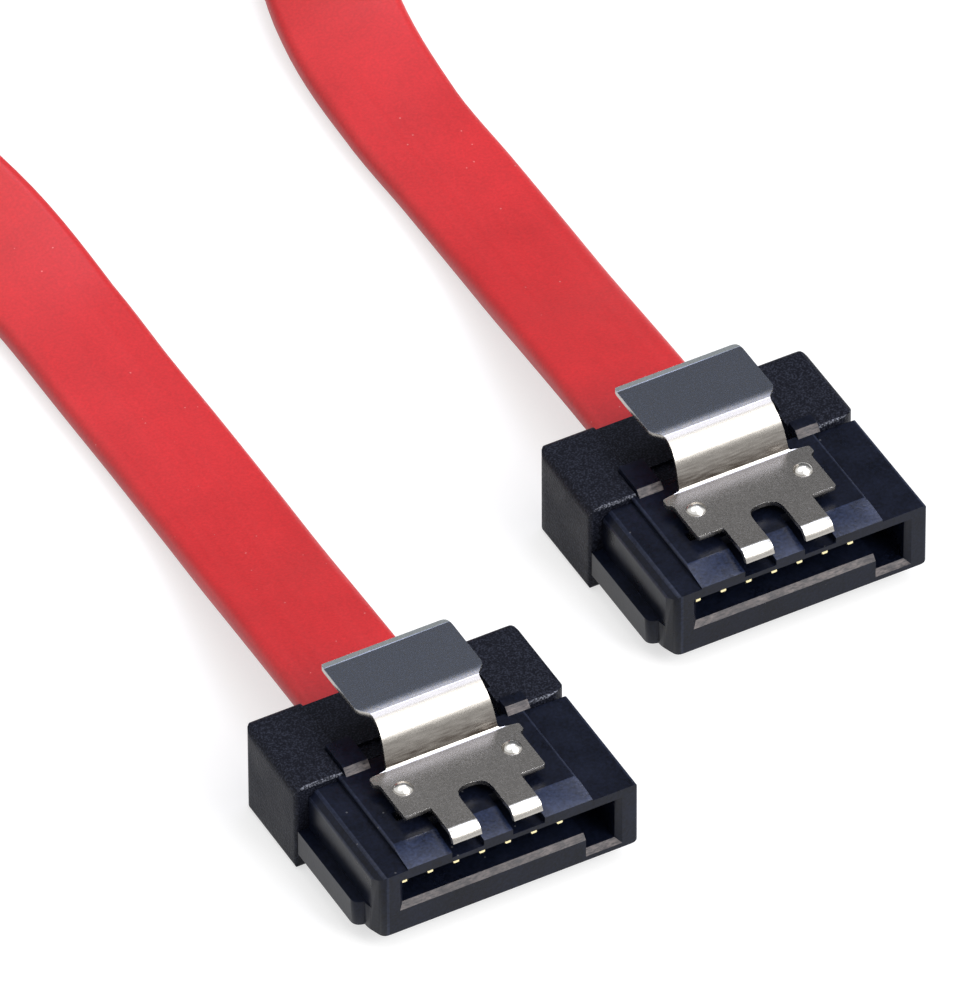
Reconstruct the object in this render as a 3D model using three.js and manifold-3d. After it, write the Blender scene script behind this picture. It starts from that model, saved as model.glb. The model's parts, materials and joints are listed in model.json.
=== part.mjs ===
// A short flat data cable with a latching seven-contact plug at each end.
// Millimetres, +Z up. Both plugs stand on z = 0 with their mating faces towards -Y.
import * as THREE from "three";
import { mergeVertices } from "three/addons/utils/BufferGeometryUtils.js";
import Module from "manifold-3d";

const wasm = await Module();
wasm.setup();

// From the middle of plug a's mating face to that of plug b.
const PLUG_STEP = [19.64, 9.41];

// Inside one plug, x is measured from the middle of the mating face, y backwards from it
// and z from the underside of the housing, which the thicker boot lifts off the table.
const HOUSING_LIFT = 1.0;

const BODY_RIGHT = 6.2;
const BODY_LEFT = -6.5;
const BODY_HEIGHT = 3.42;
const BODY_LENGTH = 6.35;
const SKIRT_OUT = 0.12;
const SKIRT_HEIGHT = 1.34;
const CORNER_IN = 0.35;
const CORNER_BACK = 1.0;
const TOP_BEVEL = 0.35;
const RAIL_OUT = 0.55;
const RAIL_FRONT = 1.25;

const TONGUE_WIDTH = 10.41;
const SLOT_FLOOR = 1.47;
const SLOT_ROOF = 2.95;
const SLOT_DEPTH = 4.6;
const KEY_WIDTH = 1.54;
const KEY_FLOOR = 0.5;
const LEAD_IN = 0.25;

const PITCH = 1.27;
const CONTACTS = 7;
const CONTACT_WIDTH = 0.32;
const CONTACT_THICK = 0.26;
const CONTACT_TO_WALL = 0.085;
const CHANNEL_GAP = 0.1;
const ROW_SPAN = (CONTACTS - 1) * PITCH + CONTACT_WIDTH;
const ROW_X = -TONGUE_WIDTH / 2 + CONTACT_TO_WALL + ROW_SPAN / 2;
const TIP_Y = 0.5;
const TIP_RISE = 0.4;
const BUMP_Y = 1.35;
const BUMP_Z = 2.0;
const TAIL_Z = 2.74;

const PLATFORM_Z = 3.7;
const PLATFORM_LEFT = -5.05;
const PLATFORM_RIGHT = 4.0;
const PLATFORM_EDGE = 0.12;
const PAD_BACK = 1.5;
const PAD_DROP = 0.2;
const RECESS_BACK = 2.25;
const RECESS_Z = 3.2;
const RECESS_GAP = 0.08;

const POST_FRONT = BODY_LENGTH - 0.2;
const LEFT_POST = 1.95;
const RIGHT_POST = 0.9;
const POSTS = [
  { across: [-4.75, -3.55], back: POST_FRONT + LEFT_POST },
  { across: [3.2, 4.3], back: POST_FRONT + RIGHT_POST },
];
const POST_Z = 4.0;
const POST_UNDER = 3.3;
const TANG_HALF = 4.75;
const TANG_LENGTH = 0.85;
const TANG_BACK = BODY_LENGTH + TANG_LENGTH;
const TANG_Z = [0.4, 3.1];

const LATCH_X = -0.62;
const SHEET = 0.24;
const PLATE_Z = 4.28;
const PLATE_BACK = BODY_LENGTH - 1.2;
const PLATE_FRONT = 2.1;
const PLATE_HALF = 3.45;
const EAR_HALF = 3.68;
const HOOK_INNER = 0.79;
const HOOK_OUTER = 2.19;
const HOOK_REACH = 0.12;
const HOOK_LOW = 3.88;
const LEG_LOW = 3.45;
const LEG_BACK = 0.75;
const LEG_GAP = 0.16;
const NECK_HALF = 2.62;
const TAB_Z = 6.3;
const RISER_RUN = 0.8;
const TAB_FRONT = PLATE_BACK + RISER_RUN;
const TAB_LENGTH = 4.35;
const TAB_BEND = 1.65;
const TAB_BACK = TAB_FRONT + TAB_LENGTH;
const TAB_HALF = 3.12;
const TAB_CORNERS = { left: 0.08, right: 0.4 };
const TAB_CURL = 0.1;
const NOTCH_BACK = 2.65;
const NOTCH_RADIUS = 0.7;
const DIMPLE_R = 0.46;
const DIMPLE_RISE = 0.26;
const DIMPLE_AT = [2.67, 3.7];

const BOOT_LEFT = -7.15;
const BOOT_RIGHT = 6.35;
const BOOT_FRONT = BODY_LENGTH + 0.05;
const BOOT_LENGTH = 5;
const BOOT_BACK = BOOT_FRONT + BOOT_LENGTH;
const BOOT_TOP = 3.75;
const BOOT_CORNER = 1.0;
const BOOT_EDGE = 0.5;
const BOOT_FOOT = 0.4;
const WELL = [-4.3, 3.4];
const WELL_Z = 3.3;
const FIT = 0.04;

const JACKET_WIDTH = 5.8;
const JACKET_THICK = 1.15;
const JACKET_X = -1.0;
const JACKET_Z = 2.4;
const JACKET_IN_BOOT = 1.5;
const MOUTH_GAP = 0.1;
const END_GAP = 0.3;

const SIGNAL_DIAMETER = 0.7;
const DRAIN_DIAMETER = 0.36;
const SIGNALS = [1, 2, 4, 5];
const WIRE_SPREAD = 0.78;
const WIRE_GAP = 0.06;
const MOULD_LENGTH = 2;
const MOULD_FRONT = TANG_BACK + 0.1;
const MOULD_BACK = MOULD_FRONT + MOULD_LENGTH;
const MOULD_HALF = 4.5;
const MOULD_Z = [1.3, 2.95];
const WIRE_FRONT = MOULD_FRONT + 0.2;
const TAIL_END = WIRE_FRONT + 1.1;

// The route of the flat cable from plug a round a long loop to plug b, in the part's frame:
// x, y, the roll of the flat section about its own line in degrees, and the height at which
// it hangs above where it would lie on the table.
const ROUTE = [
  [-10.38, 4, 0, 2.6],
  [-10.1, 8, 0, 1.95],
  [-9.7, 12, 0, 1.05],
  [-9.35, 16.5, 0, 0.35],
  [-9.22, 21.5, 0, 0.05],
  [-9.26, 27, 0, 0],
  [-9.32, 32, 2, 0],
  [-10.1, 39, 18, 0],
  [-12.6, 47, 45, 0],
  [-16.8, 58.5, 71, 0],
  [-21, 72.5, 86, 0],
  [-24.2, 89.4, 90, 0],
  [-25.5, 101.9, 90, 0],
  [-24.6, 114.9, 90, 0],
  [-20.2, 126.7, 90, 0],
  [-11.8, 134.9, 90, 0],
  [0.4, 138.1, 90, 0],
  [12.6, 134.9, 90, 0],
  [21, 126.7, 90, 0],
  [25.4, 114.9, 90, 0],
  [26.3, 102.9, 90, 0],
  [25.2, 90.9, 91, 0],
  [21.7, 74.5, 96, 0],
  [17, 60.5, 112, 0],
  [13, 51, 140, 0],
  [10.9, 43, 172, 0],
  [10.38, 36.4, 180, 0],
  [10.42, 30.9, 180, 0.05],
  [10.29, 25.9, 180, 0.35],
  [9.94, 21.4, 180, 1.05],
  [9.54, 17.4, 180, 1.95],
  [9.26, 13.4, 180, 2.6],
];
const TABLE_GAP = 0.12;
const CABLE_STEP = 5;
const CABLE_SIDES = 5;

const black = (roughness) => new THREE.MeshStandardMaterial({ color: 0x17181c, roughness });
const MATERIALS = {
  housing: black(0.32),
  boot: black(0.75),
  mould: new THREE.MeshStandardMaterial({ color: 0xe9e6da, roughness: 0.5 }),
  latch: new THREE.MeshStandardMaterial({ color: 0xb9b8b4, roughness: 0.28, metalness: 1 }),
  contact: new THREE.MeshStandardMaterial({ color: 0xe0b04c, roughness: 0.25, metalness: 1 }),
  signal: new THREE.MeshStandardMaterial({ color: 0xf0f0ee, roughness: 0.45 }),
  drain: new THREE.MeshStandardMaterial({ color: 0xd8d8d6, roughness: 0.3, metalness: 1 }),
  jacket: new THREE.MeshStandardMaterial({ color: 0xd93c44, roughness: 0.45 }),
};

// Solids

function solidOf(geometry) {
  const plain = new THREE.BufferGeometry();
  plain.setAttribute("position", geometry.getAttribute("position"));
  if (geometry.index) plain.setIndex(geometry.index);
  const merged = mergeVertices(plain, 1e-5);
  return new wasm.Manifold(
    new wasm.Mesh({
      numProp: 3,
      vertProperties: new Float32Array(merged.attributes.position.array),
      triVerts: new Uint32Array(merged.index.array),
    }),
  );
}

function geometryOf(solid) {
  const mesh = solid.getMesh();
  const geometry = new THREE.BufferGeometry();
  geometry.setAttribute("position", new THREE.BufferAttribute(mesh.vertProperties, 3));
  geometry.setIndex(new THREE.BufferAttribute(mesh.triVerts, 1));
  geometry.computeVertexNormals();
  return geometry;
}

function box([x0, x1], [y0, y1], [z0, z1]) {
  const geometry = new THREE.BoxGeometry(x1 - x0, y1 - y0, z1 - z0);
  geometry.translate((x0 + x1) / 2, (y0 + y1) / 2, (z0 + z1) / 2);
  return solidOf(geometry);
}

// A closed outline through corners [u, v, radius], each rounded where it has a radius.
function outline(corners) {
  const shape = new THREE.Shape();
  corners.forEach(([u, v, radius = 0], i) => {
    const here = new THREE.Vector2(u, v);
    const towards = (j) => {
      const other = corners[(j + corners.length) % corners.length];
      const way = new THREE.Vector2(other[0], other[1]).sub(here);
      return here.clone().addScaledVector(way.normalize(), radius);
    };
    const start = towards(i - 1);
    const end = towards(i + 1);
    if (i === 0) shape.moveTo(start.x, start.y);
    else shape.lineTo(start.x, start.y);
    if (radius > 0) shape.quadraticCurveTo(u, v, end.x, end.y);
  });
  shape.closePath();
  return shape;
}

const X = new THREE.Vector3(1, 0, 0);
const Y = new THREE.Vector3(0, 1, 0);
const Z = new THREE.Vector3(0, 0, 1);

function extrude(shape, [from, to], basis, segments = 5) {
  const geometry = new THREE.ExtrudeGeometry(shape, {
    depth: to - from,
    bevelEnabled: false,
    curveSegments: segments,
  });
  geometry.translate(0, 0, from);
  return solidOf(geometry.applyMatrix4(basis));
}

// A plan outline (x, y) standing up, and a side outline (y, z) running across.
const alongZ = (shape, range, segments) => extrude(shape, range, new THREE.Matrix4(), segments);
const alongX = (shape, range, segments) =>
  extrude(shape, range, new THREE.Matrix4().makeBasis(Y, Z, X), segments);

// A front outline (x, z) running backwards.
const alongY = (shape, [from, to], segments) =>
  extrude(shape, [-to, -from], new THREE.Matrix4().makeBasis(X, Z, Y.clone().negate()), segments);

// The middle line of a bent strip: straight runs through corners [y, z, radius] with round
// bends. Each stop holds its point and the way ahead there, so that a strip keeps its thickness.
function bentLine(corners, steps = 5) {
  const at = corners.map(([y, z]) => new THREE.Vector2(y, z));
  const way = (i, j) => at[j].clone().sub(at[i]).normalize();
  const last = at.length - 1;
  const line = [{ point: at[0], ahead: way(0, 1) }];
  for (let i = 1; i < last; i++) {
    const radius = corners[i][2];
    const enter = way(i - 1, i);
    const leave = way(i, i + 1);
    const turn = Math.atan2(enter.cross(leave), enter.dot(leave));
    const start = at[i].clone().addScaledVector(enter, -radius * Math.tan(Math.abs(turn) / 2));
    const inward = new THREE.Vector2(-enter.y, enter.x).multiplyScalar(radius * Math.sign(turn));
    const centre = start.clone().add(inward);
    for (let k = 0; k <= steps; k++) {
      const angle = (turn * k) / steps;
      const point = start.clone().rotateAround(centre, angle);
      line.push({ point, ahead: enter.clone().rotateAround(new THREE.Vector2(), angle) });
    }
  }
  line.push({ point: at[last], ahead: way(last - 1, last) });
  return line;
}

// The outline of a strip of one thickness laid along its middle line.
function stripOutline(line, thickness) {
  const side = (sign) =>
    line.map(({ point, ahead }) => {
      const across = new THREE.Vector2(-ahead.y, ahead.x);
      return point.clone().addScaledVector(across, (sign * thickness) / 2);
    });
  return new THREE.Shape([...side(-1), ...side(1).reverse()]);
}

// The plugs' places: the part's origin lies on the table below the middle of both.
const plugA = [
  -(PLUG_STEP[0] + BOOT_LEFT + BOOT_RIGHT) / 2,
  -(PLUG_STEP[1] + BOOT_BACK) / 2,
];
const PLUG_PLACES = { a: plugA, b: [plugA[0] + PLUG_STEP[0], plugA[1] + PLUG_STEP[1]] };

const union = (solids) => solids.reduce((sum, solid) => sum.add(solid));
const PAST = 1;

const contactX = (i) => ROW_X + (i - (CONTACTS - 1) / 2) * PITCH;
const SLOT = [-TONGUE_WIDTH / 2, TONGUE_WIDTH / 2];
const KEY = [SLOT[1] - KEY_WIDTH, SLOT[1]];

// Housing: one moulding with the slot for the tongue, a guide rail on its left side and a
// raised platform on top that carries the latch.

function housingShell() {
  const skirt = BODY_LEFT - SKIRT_OUT;
  const front = outline([
    [skirt, 0, 0.1],
    [BODY_RIGHT, 0, 0.3],
    [BODY_RIGHT, BODY_HEIGHT, 0.15],
    [BODY_LEFT + TOP_BEVEL, BODY_HEIGHT, 0.1],
    [BODY_LEFT, BODY_HEIGHT - TOP_BEVEL, 0.1],
    [BODY_LEFT, SKIRT_HEIGHT],
    [skirt, SKIRT_HEIGHT],
  ]);
  const plan = outline([
    [skirt + CORNER_IN, 0, 0.3],
    [BODY_RIGHT, 0, 0.08],
    [BODY_RIGHT, BODY_LENGTH],
    [skirt, BODY_LENGTH],
    [skirt, CORNER_BACK, 0.3],
  ]);
  const railPlan = outline([
    [BODY_LEFT, RAIL_FRONT - 0.15],
    [BODY_LEFT, BODY_LENGTH],
    [BODY_LEFT - RAIL_OUT, BODY_LENGTH],
    [BODY_LEFT - RAIL_OUT, RAIL_FRONT, 0.35],
  ]);
  const body = alongY(front, [0, BODY_LENGTH]).intersect(alongZ(plan, [0, BODY_HEIGHT]));
  return body.add(alongZ(railPlan, [0, SKIRT_HEIGHT]));
}

function platform() {
  const section = outline([
    [PLATFORM_LEFT, SLOT_ROOF],
    [PLATFORM_RIGHT, SLOT_ROOF],
    [PLATFORM_RIGHT, PLATFORM_Z, PLATFORM_EDGE],
    [PLATFORM_LEFT, PLATFORM_Z, PLATFORM_EDGE],
  ]);
  const ramp = outline([
    [-PAST, PLATFORM_Z - PAD_DROP],
    [0, PLATFORM_Z - PAD_DROP],
    [PAD_BACK, PLATFORM_Z],
    [PAD_BACK, PLATFORM_Z + PAST],
    [-PAST, PLATFORM_Z + PAST],
  ]);
  return alongY(section, [0, BODY_LENGTH]).subtract(
    alongX(ramp, [PLATFORM_LEFT - PAST, PLATFORM_RIGHT + PAST]),
  );
}

// The recess in the platform that the latch's hooks and legs stand in.
function latchRecess() {
  const tall = [RECESS_Z, PLATFORM_Z + PAST];
  const sides = [-1, 1].map((side) => {
    const across = (halves) => halves.map((half) => LATCH_X + side * half).sort((p, q) => p - q);
    const hook = across([HOOK_INNER - RECESS_GAP, HOOK_OUTER + RECESS_GAP]);
    const leg = across([HOOK_OUTER, PLATE_HALF + RECESS_GAP]);
    const legFront = PLATE_FRONT + LEG_BACK - LEG_GAP;
    const legPocket = box(leg, [legFront, legFront + SHEET + 2 * LEG_GAP], tall);
    return box(hook, [-PAST, RECESS_BACK], tall).add(legPocket);
  });
  return union(sides);
}

// The slot for the tongue, with its key, and their lead-ins at the mouth: the floor slopes down
// and the ends spread towards the front.
function slotCutter() {
  const main = box(SLOT, [-PAST, SLOT_DEPTH], [SLOT_FLOOR, SLOT_ROOF]);
  const key = box(KEY, [-PAST, SLOT_DEPTH], [KEY_FLOOR, SLOT_ROOF]);
  const mouth = ([x0, x1], floor, spread) => {
    const plan = outline([
      [x0 - spread, -PAST],
      [x1 + LEAD_IN, -PAST],
      [x1 + LEAD_IN, 0],
      [x1, LEAD_IN],
      [x0, LEAD_IN],
      [x0 - spread, 0],
    ]);
    const side = outline([
      [-PAST, floor - LEAD_IN],
      [0, floor - LEAD_IN],
      [LEAD_IN, floor],
      [LEAD_IN, SLOT_ROOF],
      [-PAST, SLOT_ROOF],
    ]);
    return alongZ(plan, [floor - PAST, SLOT_ROOF]).intersect(alongX(side, [x0 - PAST, x1 + PAST]));
  };
  return union([main, key, mouth(SLOT, SLOT_FLOOR, LEAD_IN), mouth(KEY, KEY_FLOOR, 0)]);
}

// The tang and the two posts behind the body, which the boot is moulded round.
function rearBlocks(grow = 0) {
  const front = BODY_LENGTH - 0.2;
  const tang = box(
    [ROW_X - TANG_HALF - grow, ROW_X + TANG_HALF + grow],
    [front, TANG_BACK + grow],
    [TANG_Z[0] - grow, TANG_Z[1] + grow],
  );
  const rise = POST_Z - PLATFORM_Z;
  const posts = POSTS.map(({ across: [x0, x1], back }) => {
    const side = outline([
      [POST_FRONT - grow, POST_UNDER - grow],
      [back + grow, POST_UNDER - grow],
      [back + grow, POST_Z + grow],
      [POST_FRONT + rise, POST_Z + grow],
      [POST_FRONT - grow, PLATFORM_Z],
    ]);
    return alongX(side, [x0 - grow, x1 + grow]);
  });
  return union([tang, ...posts]);
}

function contactChannels() {
  const tall = CONTACT_THICK / 2 + CHANNEL_GAP;
  const wide = CONTACT_WIDTH / 2 + CHANNEL_GAP;
  const channels = [];
  for (let i = 0; i < CONTACTS; i++) {
    const across = [contactX(i) - wide, contactX(i) + wide];
    channels.push(box(across, [SLOT_DEPTH - 0.2, TANG_BACK + PAST], [TAIL_Z - tall, TAIL_Z + tall]));
  }
  return union(channels);
}

function housing() {
  return housingShell()
    .add(platform())
    .add(rearBlocks())
    .subtract(latchRecess())
    .subtract(slotCutter())
    .subtract(contactChannels());
}

// Contact: a stamped strip that springs down into the slot and turns up at its tip.
function contact(i, grow = 0) {
  const line = bentLine([
    [TIP_Y, BUMP_Z + TIP_RISE],
    [BUMP_Y, BUMP_Z, 0.5],
    [SLOT_DEPTH - 0.5, TAIL_Z, 0.8],
    [TAIL_END, TAIL_Z],
  ]);
  const half = CONTACT_WIDTH / 2 + grow;
  const strip = stripOutline(line, CONTACT_THICK + 2 * grow);
  return alongX(strip, [contactX(i) - half, contactX(i) + half]);
}

// Wire ends: they leave the flat jacket close together and fan out to the contact pitch.
function wire(i, grow = 0) {
  const diameter = SIGNALS.includes(i) ? SIGNAL_DIAMETER : DRAIN_DIAMETER;
  const radius = diameter / 2 + grow;
  const rearX = JACKET_X + (i - (CONTACTS - 1) / 2) * WIRE_SPREAD;
  const z = TAIL_Z - CONTACT_THICK / 2 - diameter / 2 - WIRE_GAP;
  const rear = BOOT_BACK - JACKET_IN_BOOT - END_GAP;
  const route = new THREE.CubicBezierCurve3(
    new THREE.Vector3(contactX(i), WIRE_FRONT - grow, z),
    new THREE.Vector3(contactX(i), WIRE_FRONT + 0.9, z),
    new THREE.Vector3(rearX, rear - 0.9, JACKET_Z),
    new THREE.Vector3(rearX, rear + grow, JACKET_Z),
  );
  const section = new THREE.Shape().absarc(0, 0, radius, 0, 2 * Math.PI);
  return solidOf(
    new THREE.ExtrudeGeometry(section, { extrudePath: route, steps: 4, curveSegments: 3 }),
  );
}

// Inner mould: the block that holds the joints between wires and contacts.
function innerMould() {
  const shape = outline([
    [ROW_X - MOULD_HALF, MOULD_Z[0], 0.3],
    [ROW_X + MOULD_HALF, MOULD_Z[0], 0.3],
    [ROW_X + MOULD_HALF, MOULD_Z[1], 0.3],
    [ROW_X - MOULD_HALF, MOULD_Z[1], 0.3],
  ]);
  let block = alongY(shape, [MOULD_FRONT, MOULD_BACK]);
  block = block.subtract(rearBlocks(FIT));
  for (let i = 0; i < CONTACTS; i++) {
    block = block.subtract(contact(i, WIRE_GAP)).subtract(wire(i, WIRE_GAP));
  }
  return block;
}

// Boot: the soft block moulded over the wire ends, with a shallow well under the latch's tab.
function boot() {
  const wide = [BOOT_LEFT, BOOT_RIGHT];
  const bottom = -HOUSING_LIFT;
  const plan = outline([
    [wide[0], BOOT_FRONT, 0.25],
    [wide[1], BOOT_FRONT, BOOT_CORNER],
    [wide[1], BOOT_BACK, BOOT_CORNER],
    [wide[0], BOOT_BACK, BOOT_CORNER],
  ]);
  const front = outline([
    [wide[0], bottom, BOOT_FOOT],
    [wide[1], bottom, BOOT_FOOT],
    [wide[1], BOOT_TOP, BOOT_EDGE],
    [wide[0], BOOT_TOP, BOOT_EDGE],
  ]);
  const side = outline([
    [BOOT_FRONT, bottom, BOOT_FOOT],
    [BOOT_BACK, bottom, BOOT_FOOT],
    [BOOT_BACK, BOOT_TOP, BOOT_EDGE],
    [BOOT_FRONT, BOOT_TOP, 0.12],
  ]);
  const block = alongZ(plan, [bottom, BOOT_TOP])
    .intersect(alongY(front, [BOOT_FRONT, BOOT_BACK]))
    .intersect(alongX(side, wide));
  const well = outline([
    [WELL[0], WELL_Z, 0.25],
    [WELL[1], WELL_Z, 0.25],
    [WELL[1], BOOT_TOP + PAST],
    [WELL[0], BOOT_TOP + PAST],
  ]);
  const [left, right] = POSTS;
  const pocketBack = left.back;
  const mouth = jacketSection(MOUTH_GAP);
  const mouthBack = BOOT_BACK + PAST;
  const wireSpace = box(
    [ROW_X - MOULD_HALF - FIT, ROW_X + MOULD_HALF + FIT],
    [TANG_BACK, MOULD_BACK + FIT],
    [MOULD_Z[0] - FIT, MOULD_Z[1] + FIT],
  );
  const mouthSolid = alongY(mouth, [MOULD_BACK - FIT, mouthBack], 4).translate([
    JACKET_X,
    0,
    JACKET_Z,
  ]);
  return block
    .subtract(alongY(well, [pocketBack, BOOT_BACK + PAST]))
    .subtract(box([left.across[1], right.across[0]], [0, pocketBack], [TANG_Z[1], BOOT_TOP + PAST]))
    .subtract(rearBlocks(FIT))
    .subtract(wireSpace)
    .subtract(mouthSolid);
}

// Latch: one bent steel sheet with two hooks at the front, two legs under it that stand in
// the housing, two dimples that lock into the socket, and a raised tab to press.
function latch() {
  const line = bentLine([
    [HOOK_REACH, HOOK_LOW],
    [HOOK_REACH + 0.2, PLATE_Z, 0.45],
    [PLATE_BACK, PLATE_Z, 0.3],
    [TAB_FRONT, TAB_Z, TAB_BEND],
    [TAB_BACK - 0.2, TAB_Z, 0.3],
    [TAB_BACK + 0.1, TAB_Z + TAB_CURL],
  ]);
  const sheet = alongX(stripOutline(line, SHEET), [-EAR_HALF - PAST, EAR_HALF + PAST]);
  const half = (corner) => [
    [HOOK_OUTER, -PAST],
    [HOOK_OUTER, PLATE_FRONT, 0.1],
    [PLATE_HALF, PLATE_FRONT, 0.1],
    [PLATE_HALF, PLATE_BACK - 0.75, 0.1],
    [EAR_HALF, PLATE_BACK - 0.65, 0.08],
    [EAR_HALF, PLATE_BACK - 0.22, 0.12],
    [NECK_HALF + 0.12, PLATE_BACK - 0.1, 0.1],
    [NECK_HALF, TAB_FRONT, 0.2],
    [NECK_HALF, TAB_FRONT + 0.7, 0.2],
    [TAB_HALF, TAB_FRONT + 1.2, 0.2],
    [TAB_HALF, TAB_BACK, corner],
  ];
  const right = half(TAB_CORNERS.right);
  const left = half(TAB_CORNERS.left).map(([x, y, radius]) => [-x, y, radius]).reverse();
  const notch = outline([
    [-HOOK_INNER, -2 * PAST],
    [HOOK_INNER, -2 * PAST],
    [HOOK_INNER, NOTCH_BACK, NOTCH_RADIUS],
    [-HOOK_INNER, NOTCH_BACK, NOTCH_RADIUS],
  ]);
  const tall = [0, TAB_Z + PAST];
  let body = sheet.intersect(alongZ(outline([...right, ...left]), tall));
  body = body.subtract(alongZ(notch, tall));
  const legY = [PLATE_FRONT + LEG_BACK, PLATE_FRONT + LEG_BACK + SHEET];
  for (const across of [[HOOK_OUTER + 0.12, PLATE_HALF - 0.06], [0.06 - PLATE_HALF, -HOOK_OUTER - 0.12]]) {
    body = body.add(box(across, legY, [LEG_LOW, PLATE_Z]));
  }
  const radius = (DIMPLE_R ** 2 + DIMPLE_RISE ** 2) / (2 * DIMPLE_RISE);
  const cap = new THREE.SphereGeometry(radius, 20, 32).rotateX(Math.PI / 2);
  for (const side of [-1, 1]) {
    const top = PLATE_Z + SHEET / 2;
    const ball = solidOf(cap).translate([
      side * DIMPLE_AT[0],
      DIMPLE_AT[1],
      top + DIMPLE_RISE - radius,
    ]);
    const above = box([-EAR_HALF, EAR_HALF], [0, TAB_BACK], [PLATE_Z, top + PAST]);
    body = body.add(ball.intersect(above));
  }
  return body.translate([LATCH_X, 0, 0]);
}

// Cable

function jacketSection(grow = 0) {
  const half = JACKET_WIDTH / 2 + grow;
  const tall = JACKET_THICK / 2 + grow;
  return outline([
    [-half, -tall, tall * 0.98],
    [half, -tall, tall * 0.98],
    [half, tall, tall * 0.98],
    [-half, tall, tall * 0.98],
  ]);
}

// The flat cable's middle line, which also knows how far its section is rolled along the way.
class FlatCable extends THREE.CatmullRomCurve3 {
  constructor(points, rolls) {
    super(points, false, "centripetal");
    this.rolls = rolls;
  }

  computeFrenetFrames(segments) {
    const frames = { tangents: [], normals: [], binormals: [] };
    const last = this.rolls.length - 1;
    for (let k = 0; k <= segments; k++) {
      const tangent = this.getTangentAt(k / segments);
      const along = this.getUtoTmapping(k / segments) * last;
      const i = Math.min(Math.floor(along), last - 1);
      const roll = THREE.MathUtils.lerp(this.rolls[i], this.rolls[i + 1], along - i);
      const across = tangent.clone().cross(Z).normalize();
      across.applyAxisAngle(tangent, -THREE.MathUtils.degToRad(roll));
      frames.tangents.push(tangent);
      frames.normals.push(across);
      frames.binormals.push(tangent.clone().cross(across));
    }
    return frames;
  }
}

// The height of the section's middle where it lies on the table at a given roll.
function lyingHeight(roll) {
  const angle = THREE.MathUtils.degToRad(roll);
  const wide = (JACKET_WIDTH / 2) * Math.abs(Math.sin(angle));
  return wide + (JACKET_THICK / 2) * Math.abs(Math.cos(angle)) + TABLE_GAP;
}

function cable() {
  const stops = ROUTE.map(([x, y, roll, lift]) => [x, y, lyingHeight(roll) + lift, roll]);
  const end = ([x, y], back, roll) => [
    x + JACKET_X,
    y + BOOT_BACK - back,
    HOUSING_LIFT + JACKET_Z,
    roll,
  ];
  stops.unshift(end(PLUG_PLACES.a, JACKET_IN_BOOT, 0), end(PLUG_PLACES.a, 0, 0));
  stops.push(end(PLUG_PLACES.b, 0, 180), end(PLUG_PLACES.b, JACKET_IN_BOOT, 180));
  const route = new FlatCable(
    stops.map(([x, y, z]) => new THREE.Vector3(x, y, z)),
    stops.map((stop) => stop[3]),
  );
  return solidOf(
    new THREE.ExtrudeGeometry(jacketSection(), {
      extrudePath: route,
      steps: Math.round(route.getLength() / CABLE_STEP),
      curveSegments: CABLE_SIDES,
    }),
  );
}

// The whole part

const part = new THREE.Group();

function addPiece(group, name, solid, material) {
  const mesh = new THREE.Mesh(geometryOf(solid), material.clone());
  mesh.name = name;
  group.add(mesh);
}

for (const [end, [x, y]] of Object.entries(PLUG_PLACES)) {
  const plug = new THREE.Group();
  plug.position.set(x, y, HOUSING_LIFT);
  addPiece(plug, `housing_${end}`, housing(), MATERIALS.housing);
  addPiece(plug, `latch_${end}`, latch(), MATERIALS.latch);
  addPiece(plug, `boot_${end}`, boot(), MATERIALS.boot);
  addPiece(plug, `inner_mould_${end}`, innerMould(), MATERIALS.mould);
  for (let i = 0; i < CONTACTS; i++) {
    const kind = SIGNALS.includes(i) ? "signal" : "drain";
    addPiece(plug, `contact_${i + 1}_${end}`, contact(i), MATERIALS.contact);
    addPiece(plug, `${kind}_wire_${i + 1}_${end}`, wire(i), MATERIALS[kind]);
  }
  part.add(plug);
}

addPiece(part, "cable_jacket", cable(), MATERIALS.jacket);

export default part;
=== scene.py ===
"""A short flat data cable with a latching seven-contact plug at each end.

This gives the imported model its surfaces, lays the cord and sets up the studio. Lengths are in
metres, +Z up, with the mating faces towards -Y. Meshes are built in millimetres.
"""

import json
import math

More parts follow.
